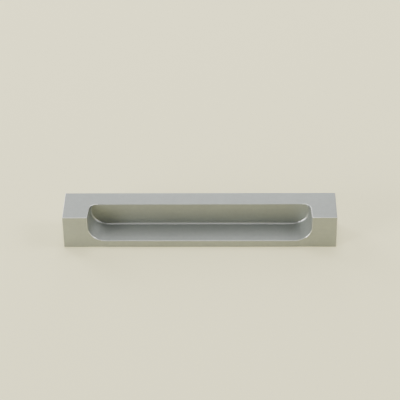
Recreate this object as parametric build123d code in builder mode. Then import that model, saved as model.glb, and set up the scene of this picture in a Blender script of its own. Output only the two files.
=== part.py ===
from build123d import *
import math
import os

os.makedirs("parts", exist_ok=True)

# Flush pull: one bar of aluminium with a finger recess milled out of its front and top faces.
# The recess leaves a solid block at each end, a lip below it and a strip behind it.
# Frame: X runs along the bar, Y from the front face to the back, Z up.
# The origin is the centre of the underside, which is the face that is screwed to the door.

# Bar, in millimetres
bar_length = 176.0
bar_depth = 27.5
bar_height = 23.5
edge_round = 0.3

# Mouth of the recess, as it is cut in the front face between two solid end blocks
end_block_length = 15.85
lip_height = 5.15
mouth_corner_radius = 11.2

# Inside of the recess: the floor rises towards the back by the tilt, and the back wall,
# square to the floor, leans back below its rim by the same angle
recess_tilt = 5.7
rim_reach = 14.75
crease_radius = 1.2
# How far each side closes in towards the back, at the floor and at the rim
floor_inset = 1.6
rim_inset = 0.9
# The corner between side and wall: its radius at its foot and at the rim. It stays tight until
# just under the rim, and opens out there by a high power of the climb.
foot_corner_radius = 0.1
rim_corner_radius = 5.2
corner_flare = 10

# Threaded holes for two M4 screws, in the underside of the end blocks
screw_to_end = 8.0
screw_hole_radius = 1.65
screw_hole_depth = 12.0
drill_point_angle = 118.0
countersink = 0.45

# Sizes that follow from the ones above
recess_length = bar_length - 2 * end_block_length
screw_spacing = bar_length - 2 * screw_to_end
front_y = -bar_depth / 2
tilt = math.radians(recess_tilt)
rim_height = (bar_height - lip_height) * math.cos(tilt) - rim_reach * math.sin(tilt)
wall_reach = (bar_height - lip_height) * math.sin(tilt) + rim_reach * math.cos(tilt)
arc_start = math.acos(1 - crease_radius / mouth_corner_radius)
low_corner_radius = crease_radius + foot_corner_radius

# The recess is built up in slices that lie parallel to its floor, from the lip upwards.
# It starts in front of the bar and ends above it, so that it cuts clean through both faces.
overrun = 5.0
floor_plane = Plane(
    origin=(0, front_y, lip_height),
    x_dir=(1, 0, 0),
    z_dir=(0, -math.sin(tilt), math.cos(tilt)),
)

# Slices through the rounded crease between the floor and the back wall
crease_slices = [crease_radius * (1 - math.cos(math.radians(turn))) for turn in (0, 25, 50, 70, 90)]
# Slices through the rounded ends of the mouth, through the upright sides above them, and past
# the rim
arc_steps = 7
arc_turns = [arc_start + (math.pi / 2 - arc_start) * step / arc_steps for step in range(arc_steps + 1)]
side_slices = [mouth_corner_radius * (1 - math.cos(turn)) for turn in arc_turns]
side_steps = 5
side_slices += [
    mouth_corner_radius + (rim_height - mouth_corner_radius) * step / side_steps
    for step in range(1, side_steps + 1)
]
side_slices += [rim_height + overrun, rim_height + 2 * overrun]

# The space that the fingers go into, as the solid that the cutter takes away
with BuildPart() as recess:
    for slices in (crease_slices, side_slices):
        for height in slices:
            # Half the mouth's length at this height: an arc at the foot of the sides, then upright
            below_arc = max(mouth_corner_radius - height, 0)
            arc_inset = mouth_corner_radius - math.sqrt(mouth_corner_radius**2 - below_arc**2)
            mouth_half = recess_length / 2 - arc_inset
            # The sides close in towards the back, less so the higher they are, up to the rim
            climb = min(height / rim_height, 1)
            inset = floor_inset + (rim_inset - floor_inset) * climb
            # The wall comes forward where it rounds over into the floor
            below_crease = max(crease_radius - height, 0)
            crease_inset = crease_radius - math.sqrt(crease_radius**2 - below_crease**2)
            back = wall_reach - crease_inset
            # The corner between side and wall is tight up to just under the rim and opens out there
            flare = climb**corner_flare
            corner = low_corner_radius + (rim_corner_radius - low_corner_radius) * flare
            front_half = mouth_half + inset * overrun / back
            with BuildSketch(floor_plane.offset(height)):
                with BuildLine():
                    open_front = Line((front_half, -overrun), (-front_half, -overrun))
                    FilletPolyline(
                        open_front @ 1,
                        (inset - mouth_half, back),
                        (mouth_half - inset, back),
                        open_front @ 0,
                        radius=corner - crease_inset,
                    )
                make_face()
        loft()

with BuildPart() as pull_bar:
    with BuildSketch(Plane.XY):
        Rectangle(bar_length, bar_depth)
    extrude(amount=bar_height)
    add(recess.part, mode=Mode.SUBTRACT)
    # Every edge in reach is broken by hand: the outer ones, the mouth and the rim on the top face
    sharp_edges = pull_bar.edges().filter_by(
        lambda edge: abs(abs(edge.center().X) - bar_length / 2) < 0.001
        or abs(abs(edge.center().Y) - bar_depth / 2) < 0.001
        or abs(edge.center().Z - bar_height) < 0.001
    )
    fillet(sharp_edges, radius=edge_round)
    # Each hole ends in the cone that its drill leaves and opens in a small countersink
    with GridLocations(screw_spacing, 0, 2, 1):
        Cylinder(
            screw_hole_radius,
            screw_hole_depth,
            align=(Align.CENTER, Align.CENTER, Align.MIN),
            mode=Mode.SUBTRACT,
        )
        with Locations((0, 0, screw_hole_depth)):
            Cone(
                screw_hole_radius,
                0,
                screw_hole_radius / math.tan(math.radians(drill_point_angle / 2)),
                align=(Align.CENTER, Align.CENTER, Align.MIN),
                mode=Mode.SUBTRACT,
            )
    hole_mouths = pull_bar.faces().sort_by(Axis.Z)[0].edges().filter_by(GeomType.CIRCLE)
    chamfer(hole_mouths, length=countersink)

pull_bar.part.label = "pull_bar"
export_step(pull_bar.part, "parts/pull_bar.step")
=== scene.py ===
# %% [markdown]
# # A flush pull in satin aluminium
#
# This lesson dresses one solid part: a bar of aluminium with a finger recess milled out of its
# front and top faces. The solid comes from CAD and already has its real size and every edge.
# Blender adds what a solid can't carry: the blasted skin of the metal, the lighter broken edges,
# the painted highlights on some edges and in the recess, the screw threads, the table that it lies
# on and the light around it.

# %% Load the solid
import bpy
import math
from mathutils import Matrix, Vector


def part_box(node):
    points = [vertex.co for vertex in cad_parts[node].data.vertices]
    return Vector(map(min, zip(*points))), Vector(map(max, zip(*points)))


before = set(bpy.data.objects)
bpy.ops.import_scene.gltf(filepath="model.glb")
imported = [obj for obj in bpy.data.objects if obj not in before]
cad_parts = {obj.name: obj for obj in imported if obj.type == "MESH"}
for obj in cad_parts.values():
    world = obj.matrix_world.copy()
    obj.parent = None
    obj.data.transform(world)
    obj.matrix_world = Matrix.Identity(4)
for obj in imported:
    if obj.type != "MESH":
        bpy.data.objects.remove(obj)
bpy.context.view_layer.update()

bpy.ops.object.select_all(action="DESELECT")
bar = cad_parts["pull_bar"]
bar_low, bar_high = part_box("pull_bar")
bar_middle = [(low + high) / 2 for low, high in zip(bar_low, bar_high)]
bar_half = [(high - low) / 2 for low, high in zip(bar_low, bar_high)]
print("the bar measures", [round(2000 * half, 1) for half in bar_half], "mm")

# %% [markdown]
# ## The camera
#
# The photograph looks down at the bar from the front. The six corners of the bar that it shows
# were enough to work out where the camera stood: about a metre away, 36 degrees above the table
# and almost straight in front, with a long lens. Ours stands at the same place. Its direction
# is built from an azimuth, an elevation and a small roll.

# %% Find the camera's place and directions
camera_azimuth = math.radians(1.341)
camera_elevation = math.radians(35.6)
camera_roll = math.radians(-0.880)
camera_distance = 1.05253
camera_focus = Vector((0.000150, 0.0, 0.027560))

backwards = Vector((
    math.sin(camera_azimuth) * math.cos(camera_elevation),
    -math.cos(camera_azimuth) * math.cos(camera_elevation),
    math.sin(camera_elevation),
))
level_right = (-backwards).cross(Vector((0, 0, 1))).normalized()
level_up = level_right.cross(-backwards)
right = level_right * math.cos(camera_roll) + level_up * math.sin(camera_roll)
up = level_up * math.cos(camera_roll) - level_right * math.sin(camera_roll)
place = camera_focus + backwards * camera_distance
print("the camera stands", round(place.z, 3), "m above the table")

# %% Stand the camera there
focal_in_pixels = 1636.0
photo_width_in_pixels = 400

lens = bpy.data.cameras.new("photo_camera")
lens.sensor_width = 36.0
lens.lens = focal_in_pixels / photo_width_in_pixels * lens.sensor_width
lens.clip_start = 0.01
lens.clip_end = 20.0
camera = bpy.data.objects.new("photo_camera", lens)
bpy.context.scene.collection.objects.link(camera)
camera.matrix_world = Matrix((
    (right.x, up.x, backwards.x, place.x),
    (right.y, up.y, backwards.y, place.y),
    (right.z, up.z, backwards.z, place.z),
    (0, 0, 0, 1),
))
bpy.context.scene.camera = camera
print("lens", round(lens.lens, 1), "mm")

# %% [markdown]
# ## Blasted and anodised aluminium
#
# The real bar was blasted with fine glass beads after it was milled, and then anodised. That leaves
# an even, silky grey: the metal still mirrors the room, but the dimples that the beads left
# blur the mirror image. The material is a dark metal with a high roughness, and noise in the bar's
# own coordinates gives it a faint cloudiness and small changes in the blur. Two small helpers
# write the nodes: one for a noise, and one that maps a value to a new range. A noise stays mostly
# between 0.3 and 0.7, so that is the range which the second one starts from.

# %% Start the metal
metal = bpy.data.materials.new("blasted_aluminium")
metal.use_nodes = True
nodes = metal.node_tree.nodes
links = metal.node_tree.links
shader = nodes["Principled BSDF"]
shader.inputs["Metallic"].default_value = 1.0
coordinates = nodes.new("ShaderNodeTexCoord")


def noise(name, scale, detail, roughness=0.5, along=(1, 1, 1)):
    stretch = nodes.new("ShaderNodeMapping")
    stretch.inputs["Scale"].default_value = along
    links.new(coordinates.outputs["Object"], stretch.inputs["Vector"])
    node = nodes.new("ShaderNodeTexNoise")
    node.name = name
    node.inputs["Scale"].default_value = scale
    node.inputs["Detail"].default_value = detail
    node.inputs["Roughness"].default_value = roughness
    links.new(stretch.outputs["Vector"], node.inputs["Vector"])
    return node.outputs["Fac"]


def between(value, low, high, start=0.3, end=0.7):
    node = nodes.new("ShaderNodeMapRange")
    node.inputs["From Min"].default_value = start
    node.inputs["From Max"].default_value = end
    node.inputs["To Min"].default_value = low
    node.inputs["To Max"].default_value = high
    links.new(value, node.inputs["Value"])
    return node.outputs["Result"]


print("started", metal.name, "with", len(nodes), "nodes")

# %% [markdown]
# The rest of the material is sums and mixes, so a few more helpers follow. Each of them takes plain
# numbers or colours as well as the results of other nodes: `feed` looks at what it is given, and
# either writes the value on the socket or draws a link to it.


# %% Helpers for sums and mixes
def feed(socket, value):
    if isinstance(value, bpy.types.NodeSocket):
        links.new(value, socket)
    else:
        socket.default_value = value


def calculate(operation, first, second=0.0):
    node = nodes.new("ShaderNodeMath")
    node.operation = operation
    feed(node.inputs[0], first)
    feed(node.inputs[1], second)
    return node.outputs["Value"]


def mix(amount, first, second, kind="FLOAT"):
    node = nodes.new("ShaderNodeMix")
    node.data_type = kind
    feed(node.inputs["Factor"], amount)
    feed(node.inputs["A"], first)
    feed(node.inputs["B"], second)
    return node.outputs["Result"]


def mix_colours(amount, first, second):
    return mix(amount, first, second, kind="RGBA")


print("helpers:", feed.__name__, calculate.__name__, mix.__name__, mix_colours.__name__)

# %% [markdown]
# The bar was pressed through a die before it was cut and milled, and a trace of that is left: very
# faint streaks along its length. A noise that is stretched along X draws them. They and the clouds
# only move the grey by a few parts in a hundred, because the real finish is nearly even.

# %% Colour and blur of the skin
cloud_share = 0.6
streak_share = 0.4
along_the_bar = (0.01, 1, 1)
darker_skin = (0.325, 0.342, 0.323, 1)
lighter_skin = (0.350, 0.369, 0.349, 1)
least_blur = 0.55
most_blur = 0.62

clouds = noise("clouds", scale=60.0, detail=3.0)
streaks = noise("streaks", scale=900.0, detail=2.0, along=along_the_bar)
unevenness = calculate(
    "ADD",
    calculate("MULTIPLY", clouds, cloud_share),
    calculate("MULTIPLY", streaks, streak_share),
)
skin_colour = mix_colours(between(unevenness, 0.0, 1.0), darker_skin, lighter_skin)
skin_blur = between(noise("blur", scale=400.0, detail=2.0), least_blur, most_blur)
print("skin from", darker_skin[:3], "to", lighter_skin[:3])

# %% [markdown]
# ## The broken edges
#
# Every outer edge and the whole mouth of the recess were broken with a small tool, and the light
# catches there as a thin bright line. The CAD solid has these edges as real rounds of 0.3 mm. The
# material finds them from place and slope: a point is on a broken edge when it lies within the
# round's reach of a side of the bar, while its surface doesn't face that side squarely. All these
# edges are a little lighter and smoother than the skin. On the edges of the top face, the upper
# half of each round is painted much lighter still: a painted highlight where the light catches it.

# %% Find the broken edges
edge_reach = 0.00034
square_to_side = 0.985
upper_half_from = 0.40

place_axes = nodes.new("ShaderNodeSeparateXYZ")
links.new(coordinates.outputs["Object"], place_axes.inputs["Vector"])
slope_axes = nodes.new("ShaderNodeSeparateXYZ")
links.new(coordinates.outputs["Normal"], slope_axes.inputs["Vector"])

from_middle = []
edges_of_side = []
for axis in range(3):
    offset = calculate("SUBTRACT", place_axes.outputs[axis], bar_middle[axis])
    from_middle.append(calculate("ABSOLUTE", offset))
    near_side = calculate("GREATER_THAN", from_middle[axis], bar_half[axis] - edge_reach)
    facing = calculate("ABSOLUTE", slope_axes.outputs[axis])
    sloped = calculate("LESS_THAN", facing, square_to_side)
    edges_of_side.append(calculate("MULTIPLY", near_side, sloped))
end_edges, long_edges, flat_edges = edges_of_side
all_edges = calculate("MAXIMUM", calculate("MAXIMUM", end_edges, long_edges), flat_edges)

# Painted highlight: the upper half of each round along the top face gets the much lighter edge
# colour.
in_upper_part = calculate("GREATER_THAN", place_axes.outputs["Z"], bar_middle[2])
faces_up = calculate("GREATER_THAN", slope_axes.outputs["Z"], upper_half_from)
top_rounds = calculate("MULTIPLY", flat_edges, calculate("MULTIPLY", in_upper_part, faces_up))
print("edges lie within", round(edge_reach * 1000, 2), "mm of a side")

# %% [markdown]
# The long rim of the recess keeps only a quarter of the edge mask, so its edge is only a little
# lighter than the skin and carries a much weaker painted highlight. A point is on that rim when it
# is away from the ends and from the long sides.

# %% Weaken the painted highlight on the long rim
rim_half_length = 0.066
rim_half_depth = 0.008
rim_share = 0.25

# Painted highlight made weaker on the long rim: its edge keeps a quarter of the lighter edge
# colour.
beside_rim = calculate(
    "MAXIMUM",
    calculate("GREATER_THAN", from_middle[0], rim_half_length),
    calculate("GREATER_THAN", from_middle[1], rim_half_depth),
)
rim_factor = calculate("MAXIMUM", beside_rim, rim_share)
edges = calculate("MULTIPLY", all_edges, rim_factor)
top_edges = calculate("MULTIPLY", top_rounds, rim_factor)
print("the long rim keeps", rim_share, "of the shine")

# %% [markdown]
# In the front face, the two round ends of the mouth get the same painted highlight as the top
# edges, while the straight lip between them stays duller. They are found by their place: at both
# ends of the mouth, below its middle, and in the front face.

# %% Paint a highlight on the round ends of the mouth
mouth_end_from = 0.0630
mouth_end_to = 0.0725
mouth_end_top = 0.0130

at_mouth_end = calculate(
    "MULTIPLY",
    calculate("GREATER_THAN", from_middle[0], mouth_end_from),
    calculate("LESS_THAN", from_middle[0], mouth_end_to),
)
is_low = calculate("LESS_THAN", place_axes.outputs["Z"], mouth_end_top)
in_front = calculate("LESS_THAN", place_axes.outputs["Y"], bar_low[1] + edge_reach)
low_and_in_front = calculate("MULTIPLY", is_low, in_front)
round_ends = calculate("MULTIPLY", calculate("MULTIPLY", at_mouth_end, low_and_in_front), edges)
# Painted highlight: the top edges and the round ends of the mouth get the much lighter colour.
edge_highlight_mask = calculate("MAXIMUM", top_edges, round_ends)
print("round ends from", mouth_end_from * 1000, "to", mouth_end_to * 1000, "mm off the middle")

# %% [markdown]
# Inside the recess there is one more bright line, where the back wall turns into the floor and the
# sides. It is a painted highlight: that narrow turn is painted lighter than the rest and given a
# lower roughness. The wall faces along Y and the floor and sides don't, so the turn is where the
# slope along Y is between.

# %% Find the turn in the recess that gets a painted highlight
turn_start = 0.40
turn_full = 0.62
turn_fades = 0.86
turn_ends = 0.96

# Painted highlight: the band of slopes between wall and floor is painted lighter below.
slope_y = calculate("ABSOLUTE", slope_axes.outputs["Y"])
rising = between(slope_y, 0.0, 1.0, turn_start, turn_full)
falling = between(slope_y, 1.0, 0.0, turn_fades, turn_ends)
off_edges = calculate("SUBTRACT", 1.0, edges)
painted_turn_highlight = calculate("MULTIPLY", calculate("MULTIPLY", rising, falling), off_edges)
print("the turn has slopes along Y from", turn_start, "to", turn_ends)

# %% [markdown]
# Now the three are laid over each other: the skin first, the painted highlight of the turn over it
# and the broken edges on top. The turn and the edges mirror more sharply than the skin. The turn is
# painted lighter as a painted highlight; the edges are a little lighter as cut metal, and much
# lighter where they carry the painted highlight.

# %% Lay skin, turn and edges over each other
# Painted highlight colour of the turn in the recess.
turn_highlight_colour = (0.42, 0.43, 0.41, 1)
dull_edge_colour = (0.48, 0.49, 0.47, 1)
# Painted highlight colour for the top edges and the round ends of the mouth.
painted_highlight_colour = (0.74, 0.75, 0.73, 1)
turn_blur = 0.28
edge_blur = 0.32

skin_and_turn_colour = mix_colours(painted_turn_highlight, skin_colour, turn_highlight_colour)
edge_colour = mix_colours(edge_highlight_mask, dull_edge_colour, painted_highlight_colour)
feed(shader.inputs["Base Color"], mix_colours(edges, skin_and_turn_colour, edge_colour))
skin_and_turn_blur = mix(painted_turn_highlight, skin_blur, turn_blur)
feed(shader.inputs["Roughness"], mix(edges, skin_and_turn_blur, edge_blur))
print("colour and blur need", len(nodes), "nodes")

# %% [markdown]
# ## Bead dimples
#
# Each bead left a dimple of about a fifth of a millimetre. That is far too many to model, so
# they are a bump: a fine noise that tilts the surface a little without moving it.

# %% Bead dimples
dimple_strength = 0.25
dimple_depth = 0.00002

dimples = nodes.new("ShaderNodeBump")
dimples.inputs["Strength"].default_value = dimple_strength
dimples.inputs["Distance"].default_value = dimple_depth
bead_marks = noise("beads", scale=5200.0, detail=2.0, roughness=0.6)
feed(dimples.inputs["Height"], bead_marks)
print("dimples", dimple_depth * 1000, "mm deep")

# %% [markdown]
# ## Screw threads
#
# The thread of an M4 screw climbs 0.7 mm a turn. Round the axis of each hole its height is a wave
# of the height above the table plus the angle, which makes a helix. It is added to the bump only
# inside the two holes, so the first thing to find is how far a point is from the nearer axis.

# %% Find the bores of the screw holes
hole_from_middle = 0.080
hole_radius = 0.00165
bore_reach = hole_radius * 1.02
thread_depth = 0.010

beside_middle = calculate("ABSOLUTE", place_axes.outputs["X"])
hole_x = calculate("SUBTRACT", beside_middle, hole_from_middle)
hole_y = place_axes.outputs["Y"]
square_x = calculate("MULTIPLY", hole_x, hole_x)
square_y = calculate("MULTIPLY", hole_y, hole_y)
from_axis = calculate("SQRT", calculate("ADD", square_x, square_y))
in_bore = calculate("LESS_THAN", from_axis, bore_reach)
in_depth = calculate("LESS_THAN", place_axes.outputs["Z"], thread_depth)
print("two threads, each", thread_depth * 1000, "mm deep into the bar")

# %% Wind the thread
thread_pitch = 0.0007
groove_depth = 0.00012

around_axis = calculate("ARCTAN2", hole_y, hole_x)
climb = calculate("MULTIPLY", place_axes.outputs["Z"], 2 * math.pi / thread_pitch)
wave = calculate("SINE", calculate("ADD", climb, around_axis))
groove = calculate("MULTIPLY", wave, calculate("MULTIPLY", in_bore, in_depth))

threads = nodes.new("ShaderNodeBump")
threads.inputs["Strength"].default_value = 1.0
threads.inputs["Distance"].default_value = groove_depth
feed(threads.inputs["Height"], groove)
feed(threads.inputs["Normal"], dimples.outputs["Normal"])
feed(shader.inputs["Normal"], threads.outputs["Normal"])
print("each thread has", round(thread_depth / thread_pitch, 1), "turns")

# %% Put the metal on the bar
for slot in bar.material_slots:
    slot.material = metal
print("metal on", len(bar.material_slots), "slot, made of", len(nodes), "nodes")

# %% [markdown]
# ## The table
#
# The bar lies on a pale, warm sheet that fills the whole picture. One large plane is enough, as
# the camera never sees its far edge. Such a sheet is often lit a little from below, to keep it
# bright and the shadows soft, and ours glows faintly too. Its colour matters to the bar: the
# front face mirrors it, which is why that face looks warmer than the top.

# %% Lay the table
table_side = 6.0

bpy.ops.mesh.primitive_plane_add(size=table_side, location=(0, 0, 0))
table = bpy.context.object
table.name = "table"
paper = bpy.data.materials.new("warm_paper")
paper.use_nodes = True
paper_shader = paper.node_tree.nodes["Principled BSDF"]
paper_finish = {
    "Base Color": (0.99, 0.93, 0.56, 1),
    "Emission Color": (1.0, 0.95, 0.60, 1),
    "Emission Strength": 0.20,
    "Roughness": 0.9,
    "Specular IOR Level": 0.2,
}
for socket_name, value in paper_finish.items():
    paper_shader.inputs[socket_name].default_value = value
table.data.materials.append(paper)
print("table", table_side, "m wide in", paper.name)

# %% [markdown]
# ## The light
#
# The soft shadows on both sides of the bar, the even grey of its top and the dark recess come from
# a light tent: lit cloth panels all around, the strongest of them low in front at the left. A
# faint world light stands for the cloth between the panels.

# %% Hang the cloth
cloth_glow = 0.10

world = bpy.data.worlds.new("tent")
bpy.context.scene.world = world
world.use_nodes = True
background = world.node_tree.nodes["Background"]
background.inputs["Color"].default_value = (1.0, 1.0, 1.0, 1)
background.inputs["Strength"].default_value = cloth_glow
print("the cloth glows at", cloth_glow)

# %% [markdown]
# Each panel is a round soft light at the same distance from the bar. It is given by the side it
# stands on, its height in degrees and its power in watts. A direction is worked out from the two
# angles, and the panel is then turned round to look back along it at the bar.

# %% Light the tent
tent_radius = 1.5
panel_width = 0.7
# Name, degrees to the right of the front, degrees up, watts
panels = (
    ("front", 0, 40, 2.0),
    ("left_front", -55, 15, 21.0),
    ("left", -90, 15, 5.0),
    ("left_back_low", -135, 15, 8.4),
    ("left_back_high", -135, 35, 6.3),
    ("right_front", 64, 17, 2.2),
    ("right_low", 90, 15, 1.2),
    ("right_high", 90, 40, 11.0),
    ("right_back", 135, 35, 3.4),
    ("back_low", 180, 20, 7.8),
    ("back_high", 180, 65, 5.7),
    ("top", 0, 90, 4.7),
)
for name, side, rise, watts in panels:
    side, rise = math.radians(side), math.radians(rise)
    towards = Vector((
        math.sin(side) * math.cos(rise),
        -math.cos(side) * math.cos(rise),
        math.sin(rise),
    ))
    cloth = bpy.data.lights.new(name, "AREA")
    cloth.shape = "DISK"
    cloth.size = panel_width
    cloth.energy = watts
    panel = bpy.data.objects.new(name, cloth)
    bpy.context.scene.collection.objects.link(panel)
    panel.location = towards * tent_radius
    panel.rotation_euler = (-towards).to_track_quat("-Z", "Y").to_euler()
print(len(panels), "panels,", round(sum(watts for *_, watts in panels), 1), "watts")
